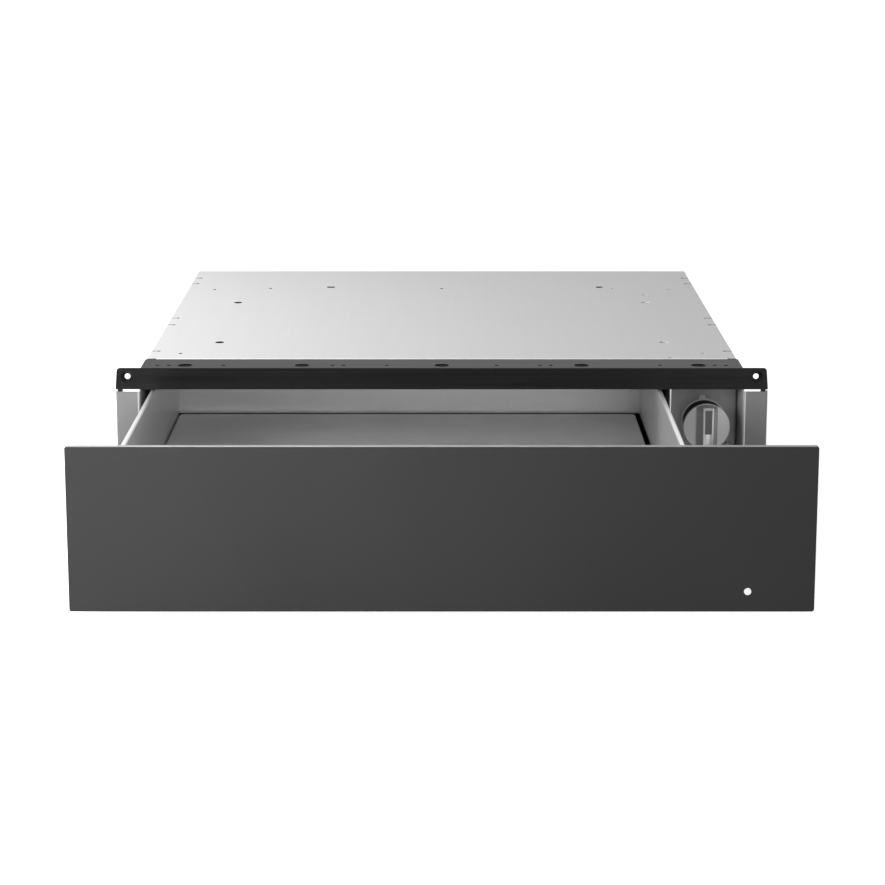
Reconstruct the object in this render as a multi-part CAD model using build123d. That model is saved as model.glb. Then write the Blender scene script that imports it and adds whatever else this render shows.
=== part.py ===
"""Built-in warming drawer, shown with its drawer pulled out.

Millimetres. X runs to the right seen from the front, Y into the case, Z up. Everything is drawn with
the drawer shut, from a datum at the middle of the front rail's face (Y = 0) and the underside of the
feet (Z = 0). At the end each piece goes to its place in the row's frame: what belongs to the drawer
comes forward by its share of the opening, and the origin moves to the middle of the footprint.
"""
from build123d import *
from math import cos, pi, sin
import os

# ---- Overall ----
niche_height = 140.0        # feet to lid
front_width = 596.0
front_height = 136.0
front_drop = 0.0            # its top edge below the lid
wall_margin = 21.7          # side panels, in from the ends of the front
case_depth = 529.0          # rail face to back sheet
foot_height = 4.0
foot_radius = 11.0
foot_inset = 15.0           # foot centre from the side panels
foot_setback = 26.0         # foot centre from the case's front and rear
sheet = 1.0                 # case panels
bend = 1.5                  # bend radius on the middle of the sheet
seat = 0.1                  # clearance round pins and screws that do not turn
running = 0.05              # radial clearance of a turning or sliding fit
free_gap = 0.3              # clearance between bodies that only pass each other
past = 1.0                  # how far a cutter runs past what it cuts

# ---- Opening ----
rest_opening = 278.0        # how far the drawer stands out
overtravel = 2.5            # push past shut that trips the push latch

# ---- Lid ----
lid_inset = 2.5             # lid's edge, in from the side panels' outer faces
side_drop = 5.0             # side panels' top edge below the lid
lip_drop = 12.0             # height of the lid's side lips
tab_drop = 22.0             # height of the screw tabs
tab_step_drop = 7.0         # where a tab steps out to the side panel
tab_length = 36.0
tab_centres = (59.8, 227.0)
tab_rear = 64.0             # the last tab's centre, in front of the lid's rear
tab_screw_rise = 8.0        # screw above the tab's lower edge
relief_width = 2.0          # slots at both ends of a tab
relief_length = 7.0
relief_eye = 1.8            # radius of the slot's round end
location_hole_radius = 4.5
location_hole_inset = 60.5  # in from the lid's edges
location_hole_y = (120.0, 332.0)
lance_size = (8.0, 7.0)
lance_inset = (153.5, 102.0)        # left and right
lance_rear = 104.0          # in front of the lid's rear
pierce_radius = 2.0
pierce_front = (28.5, 67.0)                                     # inset from both edges, and Y
pierce_rear = ((28.5, 119.0), (88.5, 111.5))                    # inset, and in front of the rear
pierce_middle = 113.0       # in front of the rear
dimple_places = ((57.0, 377.5), (59.5, 47.0))                   # inset from the right edge, and Y
dimple_radius = 3.6
dimple_depth = 0.5

# ---- Front rail ----
rail_sheet = 1.5
rail_height = 19.8
rail_flange = 40.5          # top flange, from the rail's face
flange_inset = 1.5          # flange's ends, in from the side panels' outer faces
rail_return = 10.0
rail_corner = 3.0
rail_draft = 1.6            # how much shorter each end is at the top
rail_nose = 0.8             # radius of the rail's upper front edge
fixing_inset = 11.0         # fixing hole, in from the rail's end
fixing_drop = 8.2           # below the lid
fixing_radius = 2.6
fixing_sink_radius = 5.8
fixing_boss_radius = 6.9
fixing_land = 0.6           # straight part of the hole behind its countersink
rail_hole_y = 12.5
rail_hole_radius = 6.7
rail_hole_shares = (0.0, 0.466, 0.856)                          # of the flange's half length
rail_pierce_shares = (0.183, 0.3275, 0.364, 0.728, 0.91, 0.948)
rail_leg = (2.2, 6.7)       # what joins rail and ear beside the open slit, in from the end
slit_height = 2.1

# ---- Side panels and base ----
ear_return = 7.0
floor_flange = 28.0
base_upstand = 5.0
bead_width = 9.0
bead_height = 1.2
bead_length = 300.0
bead_start = 20.0           # behind the latch
bead_count = 4
bead_pitch = 113.0
back_flange = 13.0
vent_size = (4.0, 18.0)
vent_pitch = 9.0
vent_count = 5
vent_height = 112.0         # centre above the feet

# ---- Control bay ----
bay_width = 66.5            # from the partition to the right side panel
bay_wall_rear = 17.0        # the partition's rear edge, in front of the back sheet
bay_wall_front = 2.0
bay_flange = 16.0
bay_foot = 12.0
panel_recess = 40.0         # behind the rail's face
panel_return = 12.0
knob_inset = 30.9           # knob's axis, in from the right side panel
knob_drop = 58.6            # axis below the lid
knob_radius = 21.7
knob_skirt = 23.6           # depth of the round part
knob_edge = 0.8
knob_grip = 14.5            # how far the grip bar stands on it
knob_back_gap = 1.0
grip_width = 19.4
grip_taper = 18.5           # degrees
grip_inset = 0.6            # the bar's ends, in from the round part's edge
grip_edge = 0.5
inlay_width = 6.3
inlay_length = 22.5
inlay_rise = 7.5            # centre of the inlay above the axis
inlay_depth = 0.3           # how far the inlay lies below the bar's face
inlay_sheet = 0.9
bezel_radius = 21.2
bezel_rim = 1.2
bezel_height = 1.5
bezel_plate = 0.9
bezel_bore = 8.5
pointer_angle = 5.0         # degrees left of upright
pointer_size = (7.0, 4.6, 3.6)      # width at the ring, width at its top, height
pointer_corner = 1.2
spindle_radius = 3.0
spindle_flat = 1.0
spindle_grip = 14.0         # how far the spindle reaches into the knob
spindle_reach = 14.0        # and into the thermostat, behind the panel
thermostat_nose = 8.0
thermostat_stand = 4.0      # panel to thermostat body
thermostat_body = (36.0, 26.0, 34.0)
thermostat_tab = (6.3, 9.0, 0.8)
thermostat_tab_shares = (0.3, 0.28)     # places of the tabs, of the body's width and height
panel_screw_offset = 22.8   # right of the knob's axis
panel_screw_z = (58.0, 34.0)
indicator_height = 20.8     # the lit dot above the feet
guide_radius = 3.0
guide_edge = 0.4
guide_collar = (4.6, 1.5)
guide_tail = 37.0           # how far the guide reaches behind the front carrier
lamp_radius = 4.2
lamp_length = 22.0
lamp_flange = (5.6, 1.2)
lamp_tab = (0.8, 7.0, 2.8)
terminal_size = (32.0, 20.0, 16.0)
terminal_setback = 63.0     # terminal block's middle, in front of the back sheet
terminal_hole = (2.2, 2.0)  # radii of the wire holes and the screw holes
gland_height = 26.0
gland_bore = 4.0
gland_neck = 8.0
gland_flange = (11.5, 2.0)
gland_nut = (12.5, 5.0)

# ---- Drawer ----
panel_thickness = 5.0
panel_corner = 2.0
panel_edge = 0.6
carrier_depth = 12.0
carrier_corner = 4.0
carrier_side_inset = 10.0
carrier_top_inset = 6.0
carrier_foot_inset = 5.0
front_gap = 4.0             # carrier to rail with the drawer shut
pan_gaps = (8.9, 7.0)       # rims to the left side panel and to the partition
pan_rim = 4.3
pan_lip = 10.0
pan_sheet = 1.0
pan_height = 78.7
pan_floor = 40.0            # underside above the feet
pan_rear_inset = 55.0       # rear wall's inner face, in front of the case's rear
pan_bend = 3.0
rim_bend = 1.1
air_slot = (30.0, 6.0)
air_slot_count = 11
plate_thickness = 4.0
plate_gaps = (1.3, 5.0)     # to the left and right walls
plate_end_gap = 5.5
plate_corner = 5.0
plate_edge = 0.5
support_radius = 8.0
support_height = 8.0
support_inset = 45.0
buffer_radius = 5.0
buffer_height = 1.2
buffer_inset = 16.0         # in from the front's ends
buffer_z = (24.0, 106.0)
front_screw_shares = ((0.12, 0.5, 0.88), (0.35, 0.75))          # of the pan's width and height
bracket_sheet = 1.2
bracket_width = 18.0
striker_radius = 6.0
striker_height = 2.0

# ---- Telescopic runners ----
runner_length = 450.0
runner_start = 12.0         # first end of the members behind the rail's face
runner_height = 27.0
runner_centre = 22.5        # above the feet
runner_sheet = 1.2
runner_reach = 10.3         # depth of the case member's channel
ball_radius = 1.8
race_gap = 3.1              # between the flats of two members
race_depth = (6.3, 7.6)     # how far the outer and inner ball rows stand off the wall
cage_sheet = 0.6
cage_gap = 0.35
cage_length = 224.0
cage_reach = 0.6            # cage past the balls
cage_fold = 0.5             # bend radii of the cages, the members and the brackets
runner_fold = 0.7
bracket_fold = 1.0
bracket_gap = 0.5           # drawer member clear of the case member's edge
balls_per_row = 3

# ---- Push latch ----
latch_size = (30.0, 58.0, 19.0)
latch_front = 10.0
latch_height = 15.5         # plunger axis above the feet
latch_corner = 3.0
plunger_radius = 4.0
plunger_tail = 34.0
plunger_nose = 1.5

# ---- Hot-air blower ----
duct_length = 210.0         # between the end plates
duct_offset = -27.7         # duct's middle from the pan's
duct_wall = 1.2
duct_gap = 1.0              # housing's mouth clear of the pan's furthest reach
chamber_radius = 20.0
wheel_radius = 17.0
wheel_inner = 12.6
wheel_end_gap = 3.0
wheel_disc = 1.0
blade_count = 22
blade_sheet = 0.6
blade_sweep = 35.0          # degrees from a blade's inner tip to its outer tip
blade_bow = 6.9             # degrees that its middle lags behind the straight line
hub_radius = 5.0
hub_length = 9.0
fan_height = 103.0          # axis above the feet
channel_half = 9.0          # channel's front face from the wheel axis
outlet_height = (38.0, 49.0)
intake_height = (-3.0, 15.0)        # slot in the chamber's front, from the axis
intake_inset = 6.0
intake_share = 0.4          # slot's inner end from the axis, of the chamber's radius
shaft_radius = 2.5
shaft_clearance = 1.0       # shaft through the housing's end plates
shaft_end = 3.0             # shaft past the outer bridge
stub_inset = 1.0            # stub shaft's end inside its bush
bearing_size = (6.0, 6.0)
stack_size = (20.0, 37.0, 56.0)
stack_gap = 9.0             # end plate to laminations
stack_corner = 2.0
rotor_radius = 12.0
air_gap = 0.5
coil_size = (30.0, 20.0, 18.0)
coil_lap = 3.0              # coil past the laminations' lower edge
bridge_size = (1.5, 12.0, 36.0)
post_radius = 2.5
post_spread = 13.0          # posts from the axis
heater_radius = 3.2
heater_rows = (60.0, 75.0)
heater_tail = 14.0
heater_pin = (1.2, 8.0)
cutout_radius = 8.0
cutout_height = 5.0
cutout_tab = (3.0, 0.8, 6.2)        # reach past the disc, thickness, height

# ---- Screws ----
screw_radius = 1.9
screw_head = (3.6, 2.0)
tab_screw = 8.0
panel_screw = 7.0
front_screw = 7.0

# ---- Worked out from the sizes above ----
lid_top = niche_height
lid_under = lid_top - sheet
front_half = front_width / 2
side_outer = front_half - wall_margin       # outer face of a side panel
side_inner = side_outer - sheet
side_top = lid_top - side_drop
lid_half = side_outer - lid_inset           # the lid lies between the side panels
flange_half = side_outer - flange_inset
joggle_under = lid_under - sheet            # under the lid's stepped front edge
base_under = foot_height + sheet            # on the side panels' floor flanges
base_top = base_under + sheet
back_inner = case_depth - sheet
lid_front = rail_flange + free_gap
lip_start = lid_front + 2 * sheet
tab_places = (*tab_centres, case_depth - tab_rear)
tab_screw_z = lid_top - tab_drop + tab_screw_rise
rail_bottom = lid_top - rail_height
ear_top = rail_bottom - slit_height
panel_y = panel_recess
bay_wall_x = side_inner - bay_width         # the partition's face towards the drawer
panel_left = bay_wall_x + sheet
bay_middle = (panel_left + side_inner) / 2
knob_x = side_inner - knob_inset
knob_z = lid_top - knob_drop
knob_back = panel_y - bezel_plate - knob_back_gap
skirt_front = knob_back - knob_skirt
grip_front = skirt_front - knob_grip
spindle_front = knob_back - spindle_grip
spindle_rear = panel_y + sheet + spindle_reach
carrier_back = -front_gap
panel_back = carrier_back - carrier_depth
panel_front = panel_back - panel_thickness
front_top = lid_top - front_drop
front_bottom = front_top - front_height
pan_left = -side_inner + pan_gaps[0]        # over the rims
pan_right = bay_wall_x - pan_gaps[1]
pan_rear = case_depth - pan_rear_inset      # inner face of the pan's rear wall
pan_top = pan_floor + pan_height
pan_wall_left = pan_left + pan_rim          # inner faces of the side walls
pan_wall_right = pan_right - pan_rim
pan_middle = (pan_left + pan_right) / 2
pan_floor_top = pan_floor + pan_sheet
plate_under = pan_floor_top + support_height
plate_top = plate_under + plate_thickness
plate_x = (pan_wall_left + plate_gaps[0], pan_wall_right - plate_gaps[1])
plate_y = (carrier_back + pan_sheet + plate_end_gap, pan_rear - plate_end_gap)
front_screw_places = [
    (pan_wall_left + share * (pan_wall_right - pan_wall_left), pan_floor + rise * pan_height)
    for share in front_screw_shares[0] for rise in front_screw_shares[1]
]
duct_left = pan_middle + duct_offset - duct_length / 2
duct_right = duct_left + duct_length
duct_front = pan_rear + pan_sheet + overtravel + duct_gap
fan_y = back_inner - duct_wall - chamber_radius
channel_front = fan_y - channel_half
heater_y = (channel_front + back_inner - duct_wall) / 2
wheel_ends = (duct_left + wheel_end_gap, duct_right - wheel_end_gap)
stack_start = duct_right + duct_wall + stack_gap
rotor_middle = stack_start + stack_size[0] / 2
coil_overhang = (coil_size[0] - stack_size[0]) / 2
striker_face = carrier_back + striker_height
plunger_tip = striker_face + free_gap
ball_offset = (
    runner_height / 2 - runner_sheet - race_gap / 2,
    runner_height / 2 - 2 * runner_sheet - 1.5 * race_gap,
)
middle_half = ball_offset[0] - race_gap / 2
drawer_half = ball_offset[1] - race_gap / 2
outer_cage_web = runner_sheet + cage_gap    # depths of the webs from the wall
middle_web = outer_cage_web + cage_sheet + cage_gap
inner_cage_web = middle_web + runner_sheet + cage_gap
bracket_face = runner_reach + bracket_gap   # drawer member's outer face from the wall
origin_y = (panel_front - rest_opening + case_depth + gland_flange[1]) / 2


# ---- Shapes used again and again ----
def block(x, y, z):
    """A rectangular solid between two values on each axis."""
    size = [high - low for low, high in (x, y, z)]
    centre = [(high + low) / 2 for low, high in (x, y, z)]
    return Pos(*centre) * Box(*size)


def along_x(profile, start, end):
    """A profile drawn in Y and Z, carried from start to end along X."""
    return Pos(start, 0, 0) * extrude(Plane.YZ * profile, amount=end - start)


def along_y(profile, start, end):
    """A profile drawn in X and Z, carried from start to end along Y."""
    return Pos(0, start, 0) * extrude(Plane.XZ * profile, amount=start - end)


def along_z(profile, start, end):
    """A profile drawn in X and Y, carried from start to end along Z."""
    return Pos(0, 0, start) * extrude(Plane.XY * profile, amount=end - start)


def folded(points, thickness, radius):
    """The section of a folded sheet whose middle follows the points."""
    return trace(FilletPolyline(*points, radius=radius), line_width=thickness)


def disc_y(x, z, radius, start, end):
    """A round bar along Y."""
    return along_y(Pos(x, z) * Circle(radius), start, end)


def disc_z(x, y, radius, start, end):
    """A round bar along Z."""
    return along_z(Pos(x, y) * Circle(radius), start, end)


def disc_x(y, z, radius, start, end):
    """A round bar along X."""
    return along_x(Pos(y, z) * Circle(radius), start, end)


def group(solids):
    """Separate solids that share a node."""
    return Compound(children=list(solids))


def mirrored(shape):
    """The same piece for the other side."""
    return mirror(shape, about=Plane.YZ)


def screw(length):
    """A pan-head screw along -Z, its head standing on Z = 0."""
    radius, height = screw_head
    head = extrude(Circle(radius), amount=height)
    head = fillet(head.edges().group_by(Axis.Z)[-1], radius=height * 0.45)
    recess = Pos(0, 0, height * 0.75) * (Box(radius, 0.8, height) + Box(0.8, radius, height))
    return head - recess + extrude(Circle(screw_radius), amount=-length)


# ---- Case ----
def relief_slots(side):
    """Slots that free the screw tabs from the lip, open at the edge of the lid."""
    cutters = []
    inner = side * (lid_half - relief_length)
    outer = side * (side_outer + past)
    reach = (min(inner, outer), max(inner, outer))
    for centre in tab_places:
        for y in (centre - tab_length / 2, centre + tab_length / 2):
            width = (y - relief_width / 2, y + relief_width / 2)
            cutters.append(block(reach, width, (lid_top - tab_drop, lid_top + past)))
            cutters.append(disc_z(inner, y, relief_eye, joggle_under, lid_top + past))
    return cutters


def lid_tab(centre):
    """One screw tab of the right-hand edge: down from the lip, then stepped out to the side panel."""
    length = (centre - tab_length / 2, centre + tab_length / 2)
    outer = side_inner - seat
    step_top = lid_top - tab_step_drop
    upper = block((lid_half - sheet, lid_half), length, (step_top - sheet, lid_under))
    step = block((lid_half - sheet, outer), length, (step_top - sheet, step_top))
    lower = block((outer - sheet, outer), length, (lid_top - tab_drop, step_top))
    hole = disc_x(centre, tab_screw_z, screw_radius + seat, outer - sheet - past, outer + past)
    return upper + step + lower - hole


def lid_lip():
    """The right-hand lip with its rounded upper edge, broken by the screw tabs."""
    run = (lip_start, back_inner)
    edge = block((lid_half - 2 * sheet, lid_half), run, (lid_under, lid_top))
    lip = edge + block((lid_half - sheet, lid_half), run, (lid_top - lip_drop, lid_top))
    lip = fillet(lip.edges().filter_by(Axis.Y).group_by(Axis.Z)[-1].sort_by(Axis.X)[-1], sheet * 0.7)
    for centre in tab_places:
        span = (centre - tab_length / 2, centre + tab_length / 2)
        lip -= block((lid_half - sheet, lid_half), span, (lid_top - lip_drop, lid_under))
    return lip + [lid_tab(centre) for centre in tab_places]


def lid_holes():
    """Everything that is pierced through the lid."""
    through = (joggle_under, lid_top + past)
    holes = []
    pierces = [pierce_front] + [(inset, case_depth - rear) for inset, rear in pierce_rear]
    for side in (-1, 1):
        x = side * (lid_half - location_hole_inset)
        holes += [disc_z(x, y, location_hole_radius, *through) for y in location_hole_y]
        holes += [disc_z(side * (lid_half - inset), y, pierce_radius, *through) for inset, y in pierces]
    holes.append(disc_z(0, case_depth - pierce_middle, pierce_radius, *through))
    width, length = lance_size
    for x in (lance_inset[0] - lid_half, lid_half - lance_inset[1]):
        holes.append(along_z(Pos(x, case_depth - lance_rear) * Rectangle(width, length), *through))
    return holes


def cabinet_top():
    """The lid: stepped under the rail at the front, lipped at both sides, pierced and dimpled."""
    joggle_z = lid_under - sheet / 2
    middle_z = lid_top - sheet / 2
    section = trace(
        Polyline(
            (rail_sheet, joggle_z),
            (lid_front + sheet / 2, joggle_z),
            (lid_front + sheet / 2, middle_z),
            (case_depth, middle_z),
        ),
        line_width=sheet,
    )
    lid = along_x(section, sheet - lid_half, lid_half - sheet)
    lip = lid_lip()
    lid = lid + lip + mirrored(lip)
    lid -= relief_slots(1) + relief_slots(-1) + lid_holes()
    for inset, y in dimple_places:
        lid -= disc_z(lid_half - inset, y, dimple_radius, lid_top - dimple_depth, lid_top + past)
    return lid


def cabinet_side():
    """The right side panel: wall, floor flange and the front ear with its return."""
    wall = side_outer - sheet / 2
    outer = front_half - sheet / 2
    points = ((outer, ear_return), (outer, sheet / 2), (wall, sheet / 2), (wall, case_depth))
    side = along_z(folded(points, sheet, bend), foot_height, ear_top)
    side += block((side_inner, side_outer), (rail_sheet + free_gap, case_depth), (ear_top, side_top))
    flange = (side_outer - floor_flange, side_outer)
    side += block(flange, (ear_return, back_inner), (foot_height, base_under))
    for centre in tab_places:
        side -= disc_x(centre, tab_screw_z, screw_radius + seat, side_inner - past, side_outer + past)
    return side


def cabinet_base():
    """The base sheet on the side panels' floor flanges, with a front upstand and long stiffening beads."""
    section = folded(
        ((rail_sheet + sheet, base_top + base_upstand), (rail_sheet + sheet, base_under + sheet / 2),
         (case_depth, base_under + sheet / 2)),
        sheet,
        bend,
    )
    base = along_x(section, -side_inner, side_inner)
    middle = latch_front + latch_size[1] + bead_start + bead_length / 2
    for index in range(bead_count):
        x = pan_middle + (index - (bead_count - 1) / 2) * bead_pitch
        outline = Pos(x, middle) * Rot(0, 0, 90) * SlotOverall(bead_length, bead_width)
        hollow = Pos(x, middle) * Rot(0, 0, 90) * SlotOverall(bead_length - 2 * sheet, bead_width - 2 * sheet)
        base += along_z(outline, base_top, base_top + bead_height)
        base -= along_z(hollow, base_under, base_under + bead_height)
    return base


def cabinet_back():
    """The back sheet, flanged forward at top and bottom, with the cable hole and vent slots."""
    middle = case_depth - sheet / 2
    top_middle = lid_under - sheet / 2
    foot_middle = base_top + sheet / 2
    section = folded(
        ((case_depth - back_flange, top_middle), (middle, top_middle), (middle, foot_middle),
         (case_depth - back_flange, foot_middle)),
        sheet,
        bend,
    )
    back = along_x(section, -side_inner, side_inner)
    lip_inner = lid_half - sheet - seat
    past_lip = block((lip_inner, side_inner + past), (0, back_inner), (lid_top - lip_drop - seat, lid_top))
    back -= [past_lip, mirrored(past_lip)]
    through = (back_inner - past, case_depth + past)
    back -= disc_y(bay_middle, gland_height, gland_neck + seat, *through)
    first = bay_middle - vent_pitch * (vent_count - 1) / 2
    slot = Rot(0, 0, 90) * SlotOverall(vent_size[1], vent_size[0])
    for index in range(vent_count):
        back -= along_y(Pos(first + index * vent_pitch, vent_height) * slot, *through)
    return back


def rail_face():
    """The face strip: rounded at its upper corners, both ends a little shorter at the top."""
    outline = Polyline(
        (-front_half, rail_bottom), (-front_half + rail_draft, lid_top),
        (front_half - rail_draft, lid_top), (front_half, rail_bottom),
        close=True,
    )
    face = along_y(make_face(outline), 0, rail_sheet)
    return fillet(face.edges().filter_by(Axis.Y).group_by(Axis.Z)[-1], rail_corner)


def fixing_hole(rail, side):
    """Adds a boss to the rail and takes a countersunk hole through both."""
    x = side * (front_half - fixing_inset)
    z = lid_top - fixing_drop
    sink = fixing_sink_radius - fixing_radius
    boss = disc_y(x, z, fixing_boss_radius, rail_sheet, sink + fixing_land)
    boss &= block((x - fixing_boss_radius, x + fixing_boss_radius), (0, rail_flange), (rail_bottom, lid_top))
    cone = Pos(x, sink / 2, z) * Rot(-90, 0, 0) * Cone(fixing_sink_radius, fixing_radius, sink)
    return rail + boss - cone - disc_y(x, z, fixing_radius, -past, sink + fixing_land + past)


def front_rail():
    """The black rail: face strip, perforated top flange, lower return and two countersunk fixing holes."""
    inner, outer = front_half - rail_leg[1], front_half - rail_leg[0]
    leg = block((inner, outer), (0, rail_sheet), (ear_top, rail_bottom))
    flange = block((-flange_half, flange_half), (0, rail_flange), (lid_under, lid_top))
    reach = side_inner - free_gap
    lower = block((-reach, reach), (0, rail_return), (rail_bottom, rail_bottom + rail_sheet))
    rail = rail_face() + leg + mirrored(leg) + flange + lower
    front_edges = rail.edges().filter_by(Axis.X).group_by(Axis.Z)[-1].group_by(Axis.Y)[0]
    rail = fillet(front_edges.sort_by(SortBy.LENGTH)[-1], rail_nose)
    rail = fixing_hole(fixing_hole(rail, -1), 1)
    through = (lid_under - seat, lid_top + past)
    for share in rail_hole_shares:
        for x in {share * flange_half, -share * flange_half}:
            rail -= disc_z(x, rail_hole_y, rail_hole_radius, *through)
    for share in rail_pierce_shares:
        for x in (share * flange_half, -share * flange_half):
            rail -= disc_z(x, rail_hole_y, pierce_radius, *through)
    return rail


def feet():
    """Four round feet under the floor flanges."""
    solids = []
    for x in (foot_inset - side_outer, side_outer - foot_inset):
        for y in (foot_setback, case_depth - foot_setback):
            foot = disc_z(x, y, foot_radius, 0, foot_height)
            solids.append(chamfer(foot.edges().group_by(Axis.Z)[0], foot_height / 4))
    return group(solids)


# ---- Control bay ----
def bay_wall():
    """The partition between the drawer and the control bay, flanged to the base and to the lid."""
    rear = back_inner - bay_wall_rear
    wall = block((bay_wall_x, panel_left), (bay_wall_front, rear), (base_top, joggle_under))
    foot_run = (panel_y + panel_return, rear)
    foot = block((bay_wall_x, panel_left + bay_foot), foot_run, (base_top, base_top + sheet))
    head = block((bay_wall_x, panel_left + bay_flange), (lip_start, rear), (joggle_under, lid_under))
    over_upstand = block(
        (bay_wall_x - past, panel_left + past),
        (0, bay_wall_front + 2 * sheet),
        (0, base_top + base_upstand + free_gap),
    )
    under_rail = block(
        (bay_wall_x - past, panel_left + past),
        (0, rail_return + free_gap),
        (rail_bottom - free_gap, lid_top),
    )
    return wall + foot + head - over_upstand - under_rail


def control_panel():
    """The recessed panel in front of the control bay, returned at both sides, notched for the lid's tab."""
    left = panel_left + sheet / 2
    right = side_inner - free_gap - sheet / 2
    middle = panel_y + sheet / 2
    rear = panel_y + panel_return
    plan = folded(((left, rear), (left, middle), (right, middle), (right, rear)), sheet, bend)
    panel = along_z(plan, base_top + free_gap, joggle_under - free_gap)
    panel -= block(
        (lid_half - sheet - free_gap, side_inner),
        (panel_y - past, rear + past),
        (lid_top - tab_drop - free_gap, lid_top),
    )
    through = (panel_y - past, panel_y + sheet + past)
    panel -= disc_y(knob_x, knob_z, spindle_radius + shaft_clearance, *through)
    panel -= disc_y(knob_x, indicator_height, lamp_radius + seat, *through)
    for z in panel_screw_z:
        panel -= disc_y(knob_x + panel_screw_offset, z, screw_radius + seat, *through)
    return panel


def knob_bezel():
    """A shallow ring round the knob with a raised rim and an index mark."""
    centre = Pos(knob_x, knob_z)
    plate = centre * (Circle(bezel_radius) - Circle(bezel_bore))
    rim = centre * (Circle(bezel_radius) - Circle(bezel_radius - bezel_rim))
    foot, top, height = pointer_size
    low = bezel_radius - bezel_rim
    high = bezel_radius + height
    outline = Polyline((-foot / 2, low), (-top / 2, high), (top / 2, high), (foot / 2, low), close=True)
    mark = make_face(outline)
    mark = fillet(mark.vertices().group_by(Axis.Y)[-1], pointer_corner)
    pointer = centre * Rot(0, 0, pointer_angle) * mark
    raised = (panel_y - bezel_height, panel_y)
    return along_y(plate, panel_y - bezel_plate, panel_y) + along_y(rim, *raised) + along_y(pointer, *raised)


def spindle_section(clearance):
    """A round section with one flat, grown by the clearance."""
    radius = spindle_radius + clearance
    flat = Pos(0, 2 * radius - spindle_flat) * Rectangle(4 * radius, 2 * radius)
    return Pos(knob_x, knob_z) * (Circle(radius) - flat)


def knob():
    """A deep round skirt with a tapered grip bar across it and the seat of the inlay."""
    skirt = disc_y(0, 0, knob_radius, skirt_front, knob_back)
    skirt = fillet(skirt.edges().filter_by(GeomType.CIRCLE).sort_by(Axis.Y)[0], knob_edge)
    bar = extrude(Plane.XZ * Rectangle(grip_width, 3 * knob_radius), amount=knob_grip, taper=grip_taper)
    bar = Pos(0, skirt_front, 0) * bar
    bar &= disc_y(0, 0, knob_radius - grip_inset, grip_front - past, knob_back)
    bar = fillet(bar.edges().filter_by(Axis.Z).group_by(Axis.Y)[0], grip_edge)
    shape = Pos(knob_x, 0, knob_z) * (skirt + bar) - inlay_space(-past, inlay_depth + inlay_sheet)
    return shape - along_y(spindle_section(running), spindle_front, knob_back + past)


def inlay_space(start, end):
    """The inlay's outline, carried between two depths from the bar's face."""
    outline = Pos(knob_x, knob_z + inlay_rise) * Rectangle(inlay_width, inlay_length)
    return along_y(outline, grip_front + start, grip_front + end)


def knob_inlay():
    """The dark strip in the grip that shows which way it points, just below the bar's face."""
    return inlay_space(inlay_depth, inlay_depth + inlay_sheet)


def thermostat():
    """The thermostat switch: moulded body, threaded nose up to the panel, six push-on terminals."""
    width, depth, height = thermostat_body
    front = panel_y + sheet + thermostat_stand
    outline = Pos(knob_x, knob_z) * RectangleRounded(width, height, width / 12)
    body = along_y(outline, front, front + depth)
    body += disc_y(knob_x, knob_z, thermostat_nose, panel_y + sheet, front)
    tab_width, tab_length_y, tab_sheet = thermostat_tab
    for column in (-1, 0, 1):
        for row in (-1, 1):
            x = knob_x + column * width * thermostat_tab_shares[0]
            z = knob_z + row * height * thermostat_tab_shares[1]
            tab = Pos(x, z) * Rectangle(tab_sheet, tab_width)
            body += along_y(tab, front + depth, front + depth + tab_length_y)
    return body - disc_y(knob_x, knob_z, spindle_radius + running, panel_y, spindle_rear + free_gap)


def thermostat_spindle():
    """The switch spindle: round in its bush, flatted in the knob."""
    flatted = along_y(spindle_section(0.0), spindle_front + seat, panel_y)
    return flatted + disc_y(knob_x, knob_z, spindle_radius, panel_y, spindle_rear)


def indicator_lamp():
    """The pilot lamp in the panel, a domed lens in front and two terminals behind."""
    radius, height = lamp_flange
    rear = panel_y + lamp_length
    lamp = disc_y(knob_x, indicator_height, lamp_radius, panel_y, rear)
    lamp += disc_y(knob_x, indicator_height, radius, panel_y - height, panel_y)
    lamp = fillet(lamp.edges().filter_by(GeomType.CIRCLE).sort_by(Axis.Y)[0], height * 0.7)
    tab_sheet, tab_reach, tab_height = lamp_tab
    for x in (knob_x - lamp_radius / 2, knob_x + lamp_radius / 2):
        lamp += along_y(Pos(x, indicator_height) * Rectangle(tab_sheet, tab_height), rear, rear + tab_reach)
    return lamp


def panel_screws():
    """The screws that hold the control panel's face."""
    x = knob_x + panel_screw_offset
    return group(Pos(x, panel_y, z) * Rot(90, 0, 0) * screw(panel_screw) for z in panel_screw_z)


def terminal_block():
    """A three-way mains terminal block on the base."""
    width, depth, height = terminal_size
    wire, clamp = terminal_hole
    y = back_inner - terminal_setback
    outline = Pos(bay_middle, y) * RectangleRounded(width, depth, depth / 14)
    shape = along_z(outline, base_top, base_top + height)
    for way in (-1, 0, 1):
        centre = bay_middle + way * width * 0.3
        shape -= disc_y(centre, base_top + height * 0.4, wire, y - depth, y + depth)
        for row in (-depth / 4, depth / 4):
            shape -= disc_z(centre, y + row, clamp, base_top + height * 0.6, base_top + height + past)
    return shape


def cable_gland():
    """The mains cable gland: flange outside, neck through the back, nut inside, open bore."""
    radius, thickness = gland_flange
    nut_radius, nut_height = gland_nut
    centre = (bay_middle, gland_height)
    neck_start = back_inner - nut_height - sheet
    gland = disc_y(*centre, radius, case_depth, case_depth + thickness)
    gland += disc_y(*centre, gland_neck, neck_start, case_depth)
    gland += along_y(Pos(*centre) * RegularPolygon(nut_radius, 6), back_inner - nut_height, back_inner)
    return gland - disc_y(*centre, gland_bore, neck_start - past, case_depth + thickness + past)


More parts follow.
